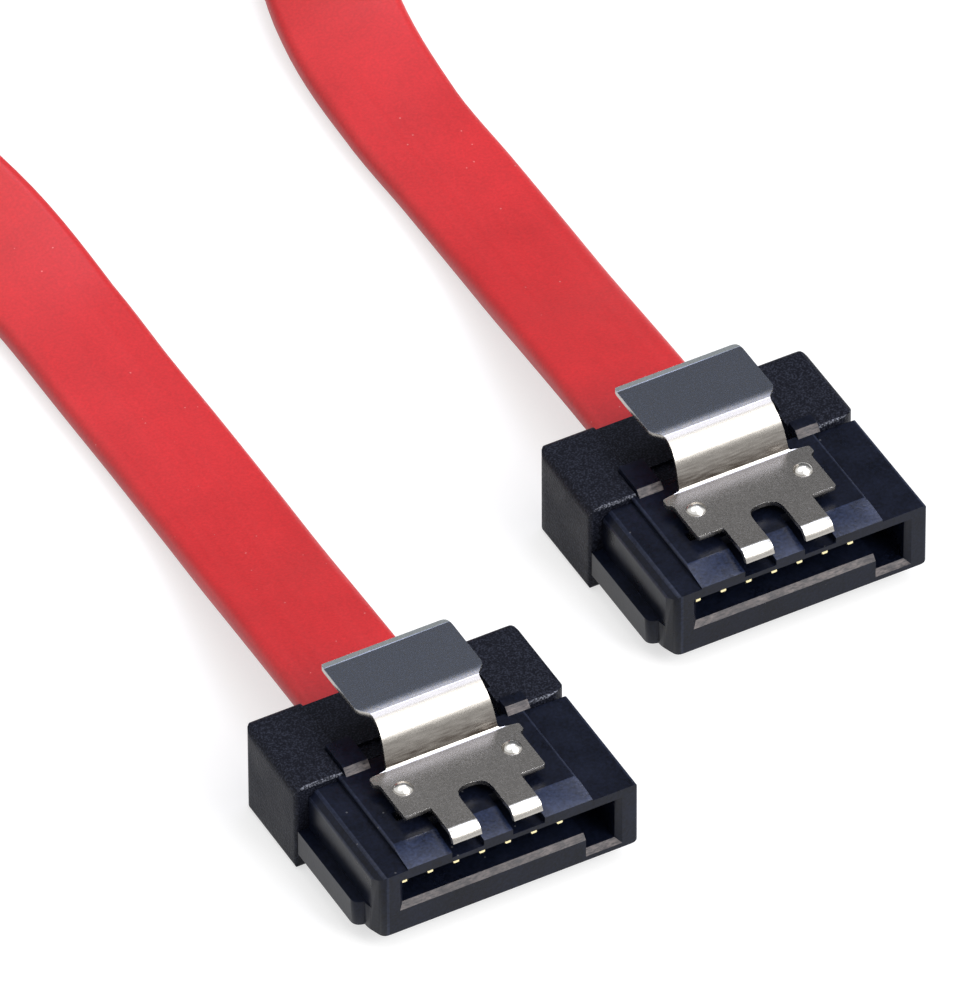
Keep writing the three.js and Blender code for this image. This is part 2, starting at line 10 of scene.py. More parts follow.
import bmesh
import bpy
from bpy.props import FloatProperty, FloatVectorProperty, IntProperty, PointerProperty
from mathutils import Quaternion, Vector
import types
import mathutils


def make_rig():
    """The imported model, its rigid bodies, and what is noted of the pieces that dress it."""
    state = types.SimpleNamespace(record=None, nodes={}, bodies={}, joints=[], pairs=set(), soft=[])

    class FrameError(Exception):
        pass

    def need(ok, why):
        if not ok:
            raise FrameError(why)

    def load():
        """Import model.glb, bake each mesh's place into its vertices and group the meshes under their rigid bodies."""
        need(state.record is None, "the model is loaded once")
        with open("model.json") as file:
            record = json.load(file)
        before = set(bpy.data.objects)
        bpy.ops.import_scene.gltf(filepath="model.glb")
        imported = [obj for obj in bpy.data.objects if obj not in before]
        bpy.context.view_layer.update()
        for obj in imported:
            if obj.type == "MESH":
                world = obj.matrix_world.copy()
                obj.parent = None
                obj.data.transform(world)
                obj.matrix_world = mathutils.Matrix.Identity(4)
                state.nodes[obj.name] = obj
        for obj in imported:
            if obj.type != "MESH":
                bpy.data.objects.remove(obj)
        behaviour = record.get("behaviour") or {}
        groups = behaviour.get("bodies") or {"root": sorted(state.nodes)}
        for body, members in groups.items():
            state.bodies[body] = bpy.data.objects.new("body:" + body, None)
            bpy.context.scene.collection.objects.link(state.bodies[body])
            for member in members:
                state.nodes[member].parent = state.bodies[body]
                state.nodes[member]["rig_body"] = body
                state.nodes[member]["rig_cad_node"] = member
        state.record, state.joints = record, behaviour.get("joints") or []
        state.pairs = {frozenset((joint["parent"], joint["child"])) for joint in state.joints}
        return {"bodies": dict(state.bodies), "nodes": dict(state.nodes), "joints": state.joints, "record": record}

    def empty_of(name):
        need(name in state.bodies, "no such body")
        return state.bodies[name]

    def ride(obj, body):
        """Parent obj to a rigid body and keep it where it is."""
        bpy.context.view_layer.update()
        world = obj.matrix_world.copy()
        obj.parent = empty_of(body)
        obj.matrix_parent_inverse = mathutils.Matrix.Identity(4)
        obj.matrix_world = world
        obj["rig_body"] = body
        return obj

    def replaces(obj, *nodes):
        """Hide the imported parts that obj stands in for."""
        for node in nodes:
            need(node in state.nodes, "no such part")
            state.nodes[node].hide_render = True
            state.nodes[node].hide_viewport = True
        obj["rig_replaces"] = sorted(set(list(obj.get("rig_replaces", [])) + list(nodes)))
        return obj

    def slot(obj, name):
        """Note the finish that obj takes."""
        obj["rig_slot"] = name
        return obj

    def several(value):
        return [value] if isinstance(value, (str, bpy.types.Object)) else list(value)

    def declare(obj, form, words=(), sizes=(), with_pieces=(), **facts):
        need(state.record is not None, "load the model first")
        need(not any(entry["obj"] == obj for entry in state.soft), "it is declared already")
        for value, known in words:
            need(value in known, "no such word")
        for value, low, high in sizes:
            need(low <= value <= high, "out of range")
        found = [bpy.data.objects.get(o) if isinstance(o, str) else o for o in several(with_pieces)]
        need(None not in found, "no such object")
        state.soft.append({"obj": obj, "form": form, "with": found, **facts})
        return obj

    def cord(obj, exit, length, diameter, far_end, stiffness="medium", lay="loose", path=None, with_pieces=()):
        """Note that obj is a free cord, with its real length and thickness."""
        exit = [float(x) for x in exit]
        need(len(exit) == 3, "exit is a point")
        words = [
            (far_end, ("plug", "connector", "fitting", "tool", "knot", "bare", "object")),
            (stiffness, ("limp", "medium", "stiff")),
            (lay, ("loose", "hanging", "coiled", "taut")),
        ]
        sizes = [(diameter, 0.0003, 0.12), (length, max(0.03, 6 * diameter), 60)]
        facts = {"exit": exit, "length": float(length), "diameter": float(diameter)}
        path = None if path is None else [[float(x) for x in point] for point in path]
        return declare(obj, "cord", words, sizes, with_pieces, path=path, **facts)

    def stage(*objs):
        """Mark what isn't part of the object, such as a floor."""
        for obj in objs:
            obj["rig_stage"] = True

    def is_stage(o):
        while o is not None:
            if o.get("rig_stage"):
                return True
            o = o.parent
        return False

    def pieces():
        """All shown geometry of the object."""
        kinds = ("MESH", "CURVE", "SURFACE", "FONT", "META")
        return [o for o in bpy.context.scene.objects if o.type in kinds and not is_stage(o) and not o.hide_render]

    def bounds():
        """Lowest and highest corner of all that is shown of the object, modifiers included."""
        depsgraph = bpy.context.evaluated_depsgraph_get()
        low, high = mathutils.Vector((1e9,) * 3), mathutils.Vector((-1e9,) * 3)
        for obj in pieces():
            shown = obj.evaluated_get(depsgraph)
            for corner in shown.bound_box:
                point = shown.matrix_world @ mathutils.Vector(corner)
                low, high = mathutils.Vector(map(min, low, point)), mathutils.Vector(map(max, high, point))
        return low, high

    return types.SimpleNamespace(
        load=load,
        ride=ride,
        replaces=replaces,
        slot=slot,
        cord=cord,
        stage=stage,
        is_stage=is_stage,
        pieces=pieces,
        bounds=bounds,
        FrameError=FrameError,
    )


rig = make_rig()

bl_info = {
    "name": "Flat Data Cable",
    "version": (1, 0, 0),
    "blender": (4, 5, 0),
    "location": "3D View > Sidebar > Data Cable",
    "description": "Dresses a flat data cable with two latching plugs",
    "category": "Object",
}

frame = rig.load()
NODES = frame["nodes"]
PLUGS = ("a", "b")

# The flat cable's route, repeated from the part's source: x, y, the roll of the section about
# its own line in degrees, and how high it hangs above where it would lie on the table.
ROUTE = [
    (-0.01038, 0.0040, 0, 0.0026),
    (-0.01010, 0.0080, 0, 0.00195),
    (-0.00970, 0.0120, 0, 0.00105),
    (-0.00935, 0.0165, 0, 0.00035),
    (-0.00922, 0.0215, 0, 0.00005),
    (-0.00926, 0.0270, 0, 0),
    (-0.00932, 0.0320, 2, 0),
    (-0.01010, 0.0390, 18, 0),
    (-0.01260, 0.0470, 45, 0),
    (-0.01680, 0.0585, 71, 0),
    (-0.02100, 0.0725, 86, 0),
    (-0.02420, 0.0894, 90, 0),
    (-0.02550, 0.1019, 90, 0),
    (-0.02460, 0.1149, 90, 0),
    (-0.02020, 0.1267, 90, 0),
    (-0.01180, 0.1349, 90, 0),
    (0.00040, 0.1381, 90, 0),
    (0.01260, 0.1349, 90, 0),
    (0.02100, 0.1267, 90, 0),
    (0.02540, 0.1149, 90, 0),
    (0.02630, 0.1029, 90, 0),
    (0.02520, 0.0909, 91, 0),
    (0.02170, 0.0745, 96, 0),
    (0.01700, 0.0605, 112, 0),
    (0.01300, 0.0510, 140, 0),
    (0.01090, 0.0430, 172, 0),
    (0.01038, 0.0364, 180, 0),
    (0.01042, 0.0309, 180, 0.00005),
    (0.01029, 0.0259, 180, 0.00035),
    (0.00994, 0.0214, 180, 0.00105),
    (0.00954, 0.0174, 180, 0.00195),
    (0.00926, 0.0134, 180, 0.0026),
]
# Where the cable leaves each boot (x, y, roll), the height of its middle there, and how far it
# runs on inside.
EXITS = {"a": (-0.01042, 0.000995, 0), "b": (0.00922, 0.010405, 180)}
EXIT_HEIGHT = 0.0034
INSIDE_BOOT = 0.0015
# The gap under the cable where it lies, the length that such a cable is sold in, and the radius
# of its long edges as a share of its thickness.
TABLE_GAP = 0.00012
CORD_LENGTH = 0.3
EDGE_ROUNDNESS = 0.46

# How far the two pads on the platform and the lead-ins slope down towards the front, and how
# near to that a face has to be, degrees.
PAD_TILT = math.degrees(math.atan(0.2 / 1.5))
LEAD_IN_TILT = 45
SAME_TILT = 3
# The parts of a face's normal by which the latch's hook bends and its dimples are found.
HOOK_FORWARD, HOOK_UP = 0.05, 0.6
DIMPLE_UP, DIMPLE_ASIDE = 0.95, 0.02

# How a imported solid's mesh is cleaned: corners nearer than this (mm) are one, faces at less than
# this angle (degrees) are joined, edges above this one are rounded, and shading breaks above this.
WELD_MM = 0.008
FLAT_ANGLE = 0.8
SHARP_ANGLE = 30
CREASE_ANGLE = 40

# Nearly all of a noise texture's values lie between these two.
NOISE_LOW, NOISE_HIGH = 0.3, 0.7
# How much of a mottled colour comes from the finer of its two noises.
FINE_SHARE = 0.6
# The latch's painted reflection and shades, metres: how far its frosting moves their borders,
# how wide the borders are, and how far above its lower end the painted shade on the riser
# begins to fade.
BORDER_WANDER = 0.00012
TAB_BORDER = 0.00006
CURL_BORDER = 0.00001
RISER_SHADE_BORDER = 0.00005
RISER_SHADE_FULL = 0.00015

# The studio, millimetres, and how bright the camera sees its floor: a little above white.
SENSOR_WIDTH = 36
FLOOR_RADIUS = 12000
CARD_DISTANCE, CARD_HALF_WIDTH = 800, 1280
CARD_LOW, CARD_HIGH = -20, 980
FLOOR_SHOWN = 1.1

# The Mix node has sockets of the same names for each type, so those for colours go by number.
MIX_FIRST, MIX_SECOND, MIX_RESULT = 6, 7, 2

WHITE = (1, 1, 1)
MM = 1000  # in a metre


# Colours and nodes


def linear(hex_colour):
    """An sRGB hex colour as linear red, green and blue."""
    shares = [int(hex_colour[i : i + 2], 16) / 255 for i in (1, 3, 5)]
    return [s / 12.92 if s <= 0.04045 else ((s + 0.055) / 1.055) ** 2.4 for s in shares]


def rgba(colour, factor=1.0):
    return [part * factor for part in colour] + [1.0]


def per(size_mm):
    """The texture scale at which one cell of a pattern is this many millimetres."""
    return MM / size_mm


def add(tree, kind, inputs=(), **settings):
    """A new node with its settings. Each input is (socket, value) or (socket, its source)."""
    made = tree.nodes.new("ShaderNode" + kind)
    for name, value in settings.items():
        setattr(made, name, value)
    for name, value in inputs:
        if isinstance(value, bpy.types.NodeSocket):
            tree.links.new(value, made.inputs[name])
        else:
            made.inputs[name].default_value = value
    return made


def bare_material(name):
    """A material without a shader, its tree, its surface socket and the object's coordinates."""
    material = bpy.data.materials.new(name)
    material.use_nodes = True
    tree = material.node_tree
    tree.nodes.clear()
    surface = add(tree, "OutputMaterial").inputs["Surface"]
    place = add(tree, "TexCoord").outputs["Object"]
    return material, tree, surface, place


def new_material(name):
    """A material, its tree, its Principled shader and the object's coordinates."""
    material, tree, surface, place = bare_material(name)
    shader = add(tree, "BsdfPrincipled")
    tree.links.new(shader.outputs["BSDF"], surface)
    return material, tree, shader, place


def noise(tree, place, size_mm, detail=2.0):
    """Soft noise with cells of about this size, as its value socket."""
    inputs = [("Vector", place), ("Scale", per(size_mm)), ("Detail", detail)]
    return add(tree, "TexNoise", inputs).outputs["Fac"]


def stretch(tree, place, scale):
    return add(tree, "Mapping", [("Vector", place), ("Scale", scale)]).outputs["Vector"]


def spread(tree, value, low, high):
    """The middle part of a noise value, spread over the range from low to high."""
    inputs = [("Value", value), ("From Min", NOISE_LOW), ("From Max", NOISE_HIGH)]
    inputs += [("To Min", low), ("To Max", high)]
    return add(tree, "MapRange", inputs).outputs["Result"]


def ramp(tree, value, start, stop):
    """0 up to the start and 1 beyond the stop."""
    inputs = [("Value", value), ("From Min", start), ("From Max", stop)]
    return add(tree, "MapRange", inputs).outputs["Result"]


def blend(tree, factor, first, second):
    """The first colour where the factor is 0 and the second where it is 1."""
    inputs = [("Factor", factor), (MIX_FIRST, first), (MIX_SECOND, second)]
    return add(tree, "Mix", inputs, data_type="RGBA").outputs[MIX_RESULT]


def combine(tree, operation, *values):
    inputs = list(enumerate(values))
    return add(tree, "Math", inputs, operation=operation).outputs[0]


def mottled(tree, fine, coarse):
    """Two noises together, spread over the range from 0 to 1."""
    part = combine(tree, "MULTIPLY", coarse, 1 - FINE_SHARE)
    return spread(tree, combine(tree, "MULTIPLY_ADD", fine, FINE_SHARE, part), 0, 1)


def relief(tree, height, depth_mm, strength):
    inputs = [("Height", height), ("Strength", strength), ("Distance", depth_mm / MM)]
    return add(tree, "Bump", inputs).outputs["Normal"]


def specks(tree, place, cell_mm, radius, share, strength):
    """This strength inside small dots, at most one in each cell and only in this share of the
    cells, and 0 elsewhere."""
    cells = add(tree, "TexVoronoi", [("Vector", place), ("Scale", per(cell_mm))], feature="F1")
    dot = combine(tree, "LESS_THAN", cells.outputs["Distance"], radius)
    draw = add(tree, "SeparateColor", [("Color", cells.outputs["Color"])]).outputs["Red"]
    chosen = combine(tree, "GREATER_THAN", draw, 1 - share)
    return combine(tree, "MULTIPLY", combine(tree, "MULTIPLY", dot, chosen), strength)


def finish(material, tree, shader, **inputs):
    """Links or sets the shader's inputs by their names with spaces left out."""
    for socket in shader.inputs:
        value = inputs.get(socket.name.replace(" ", ""))
        if isinstance(value, bpy.types.NodeSocket):
            tree.links.new(value, socket)
        elif value is not None:
            socket.default_value = value
    return material


# Materials


def pbt_moulded(name, colour, low=0.35, high=1.9, gloss=0.18, rough=(0.26, 0.34)):
    """PBT, injection moulded in polished steel: near black with a cool cast, a satin gloss
    that breaks up slightly over the flow marks, and a few grains of dust."""
    material, tree, shader, place = new_material(name)
    flow = noise(tree, place, size_mm=1.6, detail=3.0)
    skin = noise(tree, place, size_mm=0.14, detail=3.0)
    base = blend(tree, mottled(tree, skin, flow), rgba(colour, low), rgba(colour, high))
    dust = specks(tree, place, cell_mm=0.6, radius=0.08, share=0.12, strength=0.07)
    return finish(
        material,
        tree,
        shader,
        BaseColor=blend(tree, dust, base, rgba(WHITE)),
        Roughness=spread(tree, flow, *rough),
        Normal=relief(tree, skin, depth_mm=0.006, strength=0.7),
        IOR=1.5,
        SpecularIORLevel=gloss,
    )


def pbt_scuffed_and_lit(settings):
    """PBT scraped by the socket each time it is plugged in: the gloss is gone, and fine
    streaks and pale crumbs give the slopes a dusty, brownish grey. That pale grey is partly this
    wear and partly painted light, the sheen that the slopes catch."""
    material, tree, shader, place = new_material("PBT black scuffed with painted sheen")
    streaks = noise(tree, stretch(tree, place, (0.35, 1.0, 1.0)), size_mm=0.1, detail=3.0)
    patches = spread(tree, noise(tree, place, size_mm=0.7, detail=3.0), 0.35, 1.2)
    wear_and_sheen = combine(tree, "MULTIPLY", spread(tree, streaks, 0.15, 1), patches)
    return finish(
        material,
        tree,
        shader,
        BaseColor=blend(tree, wear_and_sheen, rgba(settings.housing_colour), rgba(settings.scuff_and_sheen_colour)),
        Roughness=spread(tree, streaks, 0.38, 0.55),
        Normal=relief(tree, streaks, depth_mm=0.012, strength=0.8),
        IOR=1.5,
        SpecularIORLevel=0.3,
    )


def pvc_overmould(name, colour, peak_colour):
    """Soft PVC moulded over the wires in a spark-eroded tool: a fine pitted grain that scatters
    the light, so it looks greyer and duller than the housing."""
    material, tree, shader, place = new_material(name)
    # Real spark erosion is finer, about 0.05 mm; it is drawn at 0.08 mm so that it shows.
    grain = noise(tree, place, size_mm=0.08, detail=3.0)
    pits = add(tree, "TexVoronoi", [("Vector", place), ("Scale", per(0.13))], feature="SMOOTH_F1")
    height = combine(tree, "ADD", grain, pits.outputs["Distance"])
    peaks = ramp(tree, grain, 0.46, 0.66)
    return finish(
        material,
        tree,
        shader,
        BaseColor=blend(tree, peaks, rgba(colour, 0.5), rgba(peak_colour)),
        Roughness=spread(tree, noise(tree, place, size_mm=2.2), 0.48, 0.6),
        Normal=relief(tree, height, depth_mm=0.02, strength=0.8),
        IOR=1.5,
        SpecularIORLevel=0.14,
    )


def spring_steel(settings):
    """Stainless spring steel, cold rolled and tumbled: grey, with a fine frosted skin that
    breaks the rim of each highlight into sparkle. A painted reflection makes the tab duller and
    cooler, painted shade makes its curl darker, and a brownish painted shade lies at the foot
    of its riser."""
    material, tree, shader, place = new_material("Stainless spring steel tumbled")
    # The frosting is really about 0.03 mm; it is drawn at 0.08 mm so that it shows.
    frost = noise(tree, place, size_mm=0.08, detail=3.0)
    rolled = noise(tree, stretch(tree, place, (0.12, 1.0, 1.0)), size_mm=0.1)
    cloud = noise(tree, place, size_mm=1.3, detail=3.0)
    skin = combine(tree, "MULTIPLY_ADD", rolled, 0.5, frost)
    sheet = blend(tree, cloud, rgba(settings.steel_colour, 0.9), rgba(settings.steel_colour, 1.08))
    height = add(tree, "SeparateXYZ", [("Vector", place)]).outputs["Z"]
    rise = combine(tree, "MULTIPLY_ADD", frost, BORDER_WANDER, height)
    # Painted reflection: above the tab's height the steel is coloured darker and cooler.
    on_tab = ramp(tree, rise, settings.tab_reflection_from, settings.tab_reflection_from + TAB_BORDER)
    # Painted shade: where the tab curls up, it is coloured darker still.
    curl_shade = ramp(tree, height, settings.curl_from, settings.curl_from + CURL_BORDER)
    tab = blend(tree, curl_shade, rgba(settings.tab_reflection_colour), rgba(settings.curl_shade_colour))
    # Painted shade: a brownish dark band at the foot of the riser, fading out upwards.
    above = ramp(tree, height, settings.riser_shade_from, settings.riser_shade_from + RISER_SHADE_BORDER)
    below = ramp(tree, rise, settings.riser_shade_to, settings.riser_shade_from + RISER_SHADE_FULL)
    band = combine(tree, "MULTIPLY", above, below)
    riser_shade = combine(tree, "MULTIPLY", band, spread(tree, rolled, 0.6, 1))
    riser_shaded = blend(tree, riser_shade, sheet, rgba(settings.riser_shade_colour))
    return finish(
        material,
        tree,
        shader,
        BaseColor=blend(tree, on_tab, riser_shaded, tab),
        Roughness=spread(tree, frost, 0.22, 0.29),
        Normal=relief(tree, skin, depth_mm=0.002, strength=0.3),
        Metallic=1.0,
    )


def steel_painted_highlight(settings):
    """The same steel, smoother and painted bright, like a worn coin, as a highlight: on its
    sheared edges, which tumbling rolled over, and on the dimples and hook bends.
    """
    material, tree, shader, place = new_material("Stainless spring steel painted highlight")
    tumbled = noise(tree, place, size_mm=0.3)
    return finish(
        material,
        tree,
        shader,
        BaseColor=rgba(settings.edge_highlight_colour),
        Roughness=spread(tree, tumbled, 0.12, 0.24),
        Normal=relief(tree, tumbled, depth_mm=0.004, strength=0.5),
        Metallic=1.0,
    )


def gold_plate(settings):
    """Gold flashed on stamped bronze: pale, bright and almost smooth, with faint draw lines."""
    material, tree, shader, place = new_material("Gold plated bronze stamped")
    drawn = noise(tree, stretch(tree, place, (1.0, 0.15, 1.0)), size_mm=0.06, detail=1.0)
    return finish(
        material,
        tree,
        shader,
        BaseColor=blend(tree, drawn, rgba(settings.gold_colour, 0.92), rgba(settings.gold_colour)),
        Roughness=spread(tree, drawn, 0.16, 0.26),
        Metallic=1.0,
    )


def pvc_extruded(settings):
    """Soft PVC, extruded flat: a strong red with a low sheen and a fine matt grain, faint lines
    along the run from the die, and a few pale specks of dust and chalk."""
    material, tree, shader, place = new_material("PVC red extruded smooth")
    run = add(tree, "TexCoord").outputs["UV"]
    drawn = noise(tree, stretch(tree, run, (0.02, 1.0, 1.0)), size_mm=0.35)
    grain = noise(tree, place, size_mm=0.13, detail=3.0)
    mottle = mottled(tree, grain, noise(tree, place, size_mm=3.0))
    base = blend(tree, mottle, rgba(settings.colour, 0.82), rgba(settings.colour, 1.12))
    dust = specks(tree, place, cell_mm=0.5, radius=0.08, share=0.14, strength=0.32)
    skin = combine(tree, "MULTIPLY_ADD", drawn, 0.5, grain)
    return finish(
        material,
        tree,
        shader,
        BaseColor=blend(tree, dust, base, rgba(settings.speck_colour)),
        Roughness=spread(tree, drawn, 0.4, 0.5),
        Normal=relief(tree, skin, depth_mm=0.008, strength=0.6),
        IOR=1.53,
    )


def wire_plastic(name, colour):
    """Polyethylene, as moulded or drawn: milky, waxy and slightly uneven."""
    material, tree, shader, place = new_material(name)
    shade = blend(tree, noise(tree, place, size_mm=0.8), rgba(colour, 0.85), rgba(colour))
    return finish(material, tree, shader, BaseColor=shade, Roughness=0.5, IOR=1.51)


def tinned_copper(settings):
    """Tinned copper wire, drawn: a soft white metal with lines along the wire."""
    material, tree, shader, place = new_material("Tinned copper drawn")
    drawn = noise(tree, stretch(tree, place, (1.0, 0.1, 1.0)), size_mm=0.08, detail=1.0)
    return finish(
        material,
        tree,
        shader,
        BaseColor=rgba(settings.tin_colour),
        Roughness=spread(tree, drawn, 0.28, 0.42),
        Metallic=1.0,
    )


# Meshes


def show(bm, name, *materials):
    """Makes an object of a mesh that was built in millimetres."""
    bmesh.ops.scale(bm, vec=(1 / MM,) * 3, verts=bm.verts)
    mesh = bpy.data.meshes.new(name)
    bm.to_mesh(mesh)
    bm.free()
    for material in materials:
        mesh.materials.append(material)
    piece = bpy.data.objects.new(name, mesh)
    bpy.context.scene.collection.objects.link(piece)
    return piece


def rounded(node, name, materials, radius, segments, narrow=0.06):
    """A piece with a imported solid's shape, its flats joined and its sharp edges rounded. The
    last of its materials goes to the edges and to strips narrower than this (mm), which are the
    solid's own roundings."""
    last = len(materials) - 1
    bm = bmesh.new()
    bm.from_mesh(NODES[node].data)
    bmesh.ops.scale(bm, vec=(MM,) * 3, verts=bm.verts)
    bmesh.ops.remove_doubles(bm, verts=bm.verts, dist=WELD_MM)
    flat, sharp = math.radians(FLAT_ANGLE), math.radians(SHARP_ANGLE)
    bmesh.ops.dissolve_limit(bm, angle_limit=flat, verts=bm.verts, edges=bm.edges)
    bmesh.ops.bevel(
        bm,
        geom=[e for e in bm.edges if e.is_manifold and e.calc_face_angle() > sharp],
        offset=radius * MM,
        offset_type="OFFSET",
        segments=segments,
        profile=0.5,
        affect="EDGES",
        clamp_overlap=True,
        material=last,
    )
    for face in bm.faces:
        face.smooth = True
        if face.calc_area() < narrow * max(edge.calc_length() for edge in face.edges):
            face.material_index = last
    piece = show(bm, name, *materials)
    piece.data.set_sharp_from_angle(angle=math.radians(CREASE_ANGLE))
    weighted = piece.modifiers.new("even shading", "WEIGHTED_NORMAL")
    weighted.keep_sharp = True
    return piece


def dress_slopes(piece, index, tilt):
    """Gives a material to the faces that slope down towards the front by this angle (degrees)."""
    angle = math.radians(tilt)
    slope = Vector((0, -math.sin(angle), math.cos(angle)))
    for face in piece.data.polygons:
        if face.normal.angle(slope, math.pi) < math.radians(SAME_TILT):
            face.material_index = index


def dress_hooks(piece, index, top):
    """Gives a material to the bends below a height (m) that turn down towards the front."""
    for face in piece.data.polygons:
        bent = face.normal.y < -HOOK_FORWARD and face.normal.z > HOOK_UP
        if bent and face.center.z < top:
            face.material_index = index


def dress_dimples(piece, index, low, high):
    """Gives a material to the domes between two heights (m). The bend of the sheet that starts
    there leans along Y alone and is left out."""
    for face in piece.data.polygons:
        domed = face.normal.z > DIMPLE_UP or abs(face.normal.x) > DIMPLE_ASIDE
        if domed and low < face.center.z < high:
            face.material_index = index


def curve_points(stops, step):
    """Points along a centripetal Catmull-Rom curve through the stops, with the roll at each."""
    places = [Vector(stop[:3]) for stop in stops]
    places.insert(0, 2 * places[0] - places[1])
    places.append(2 * places[-1] - places[-2])
    line = []
    for i in range(1, len(places) - 2):
        before, start, end, after = places[i - 1 : i + 3]
        pairs = ((before, start), (start, end), (end, after))
        gap_in, gap, gap_out = [(q - p).length ** 0.5 for p, q in pairs]
        chord = (end - start) / gap
        leave = (start - before) / gap_in - (end - before) / (gap_in + gap) + chord
        arrive = chord - (after - start) / (gap + gap_out) + (after - end) / gap_out
        leave, arrive = leave * gap, arrive * gap
        count = max(2, round((end - start).length / step))
        is_last = i == len(places) - 3
        for k in range(count + is_last):
            t = k / count
            point = (
                (2 * t**3 - 3 * t**2 + 1) * start
                + (t**3 - 2 * t**2 + t) * leave
                + (-2 * t**3 + 3 * t**2) * end
                + (t**3 - t**2) * arrive
            )
            roll = (1 - t) * stops[i - 1][3] + t * stops[i][3]
            line.append((point, roll))
    return line


def lying_height(roll, width, thickness):
    """How high the middle of the flat section is where it lies on the table at this roll."""
    angle = math.radians(roll)
    return (width * abs(math.sin(angle)) + thickness * abs(math.cos(angle))) / 2 + TABLE_GAP


def cable_section(width, thickness, sides):
    """The flat section with nearly round edges, as (across, up) points in order."""
    radius = thickness * EDGE_ROUNDNESS
    points = []
    for sx, sy, start in ((1, -1, -90), (1, 1, 0), (-1, 1, 90), (-1, -1, 180)):
        across, up = sx * (width / 2 - radius), sy * (thickness / 2 - radius)
        for k in range(sides + 1):
            angle = math.radians(start + 90 * k / sides)
            points.append((across + radius * math.cos(angle), up + radius * math.sin(angle)))
    return points


# Sizes and colours


def colour_property(name, description, hex_colour):
    return FloatVectorProperty(
        name=name,
        description=description,
        subtype="COLOR",
        size=3,
        min=0,
        max=1,
        default=linear(hex_colour),
    )


def length_property(name, description, metres):
    return FloatProperty(
        name=name,
        description=description,
        unit="LENGTH",
        precision=5,
        min=0,
        default=metres,
    )


def angle_property(name, description, degrees):
    return FloatProperty(
        name=name,
        description=description,
        unit="ROTATION",
        default=math.radians(degrees),
    )


def level_property(name, description, level):
    return FloatProperty(name=name, description=description, min=0, default=level)


class CableSettings(bpy.types.PropertyGroup):
    """The flat cable between the two plugs."""

    width: length_property("Width", "Width of the flat jacket", 0.0058)
    thickness: length_property("Thickness", "Thickness of the flat jacket", 0.00115)
    step: length_property("Step", "Distance between two rings of the jacket's mesh", 0.001)
    sides: IntProperty(
        name="Edge sides",
        description="Faces round each quarter turn of an edge",
        default=5,
        min=2,
        max=12,
    )
    colour: colour_property("Colour", "Colour of the jacket", "#cc282d")
    speck_colour: colour_property("Specks", "Colour of the dust on the jacket", "#f2c9c4")


class PlugSettings(bpy.types.PropertyGroup):
    """Housing, boot and what they hold."""

    housing_edge: length_property("Housing edge", "Radius of the housing's edges", 0.00005)
    housing_colour: colour_property("Housing", "Colour of the housing", "#0d111e")
    # Painted highlight: the housing's edges are coloured lighter.
    housing_edge_colour: colour_property(
        "Housing edges", "Colour of the housing's rubbed edges", "#232838"
    )
    # Painted light: the pads are coloured lighter and bluer than the rest of the housing.
    pad_painted_light_colour: colour_property(
        "Pads", "Colour of the housing where the latch rubs it", "#1f273e"
    )
    # The lead-ins' pale, brownish grey is partly wear and partly painted light.
    scuff_and_sheen_colour: colour_property(
        "Scuffs", "Colour of the housing where the socket scrapes it", "#7c7473"
    )
    boot_edge: length_property("Boot edge", "Radius of the boot's edges", 0.00009)
    boot_colour: colour_property("Boot", "Colour of the boot", "#0f1220")
    grain_colour: colour_property(
        "Boot grain", "Colour of the tops of the boot's grain", "#2b2e3a"
    )
    # Painted highlight: the boot's edges are coloured light grey.
    boot_edge_colour: colour_property(
        "Boot edges", "Colour of the boot's rubbed edges", "#7d808c"
    )
    contact_edge: length_property("Contact edge", "Radius of the contacts' edges", 0.00008)
    gold_colour: colour_property("Contacts", "Colour of the contacts' plating", "#fff1bd")
    tin_colour: colour_property("Drain wires", "Colour of the bare drain wires", "#d8d6d2")
    wire_colour: colour_property("Signal wires", "Colour of the wires' insulation", "#eeeeea")
    mould_colour: colour_property("Inner mould", "Colour of the block round the joints", "#e4e0d2")


class LatchSettings(bpy.types.PropertyGroup):
    """The sprung sheet-metal latch. Heights are above the table."""

    edge: length_property("Edge", "Radius left by tumbling on the stamped edges", 0.00006)
    steel_colour: colour_property("Steel", "Colour of the steel", "#b3afa9")
    # Painted highlight: the edges, dimples and hook bends are coloured near white.
    edge_highlight_colour: colour_property("Sheared edges", "Colour of the sheet's rolled edges", "#e8e6e2")
    dimple_top: length_property("Dimple top", "Height of the tops of the dimples", 0.0057)
    # Painted shade at the foot of the riser: brownish dark, fading out upwards.
    riser_shade_colour: colour_property("Tool marks", "Colour of the bending tool's marks", "#3c322b")
    riser_shade_from: length_property("Tool marks from", "Height of the marks' lower end", 0.00545)
    riser_shade_to: length_property("Tool marks to", "Height where the marks fade out", 0.0073)
    # Painted reflection: the tab is coloured darker and cooler than the rest of the sheet.
    tab_reflection_colour: colour_property("Tab", "Colour of the steel where the tab is pressed", "#858b98")
    tab_reflection_from: length_property("Tab height", "Height from which the steel is dull", 0.00742)
    # Painted shade: the curl is coloured darker than the tab.
    curl_shade_colour: colour_property("Curl", "Colour of the steel where the tab curls up", "#585a54")
    curl_from: length_property("Curl height", "Height where the curl begins", 0.007422)


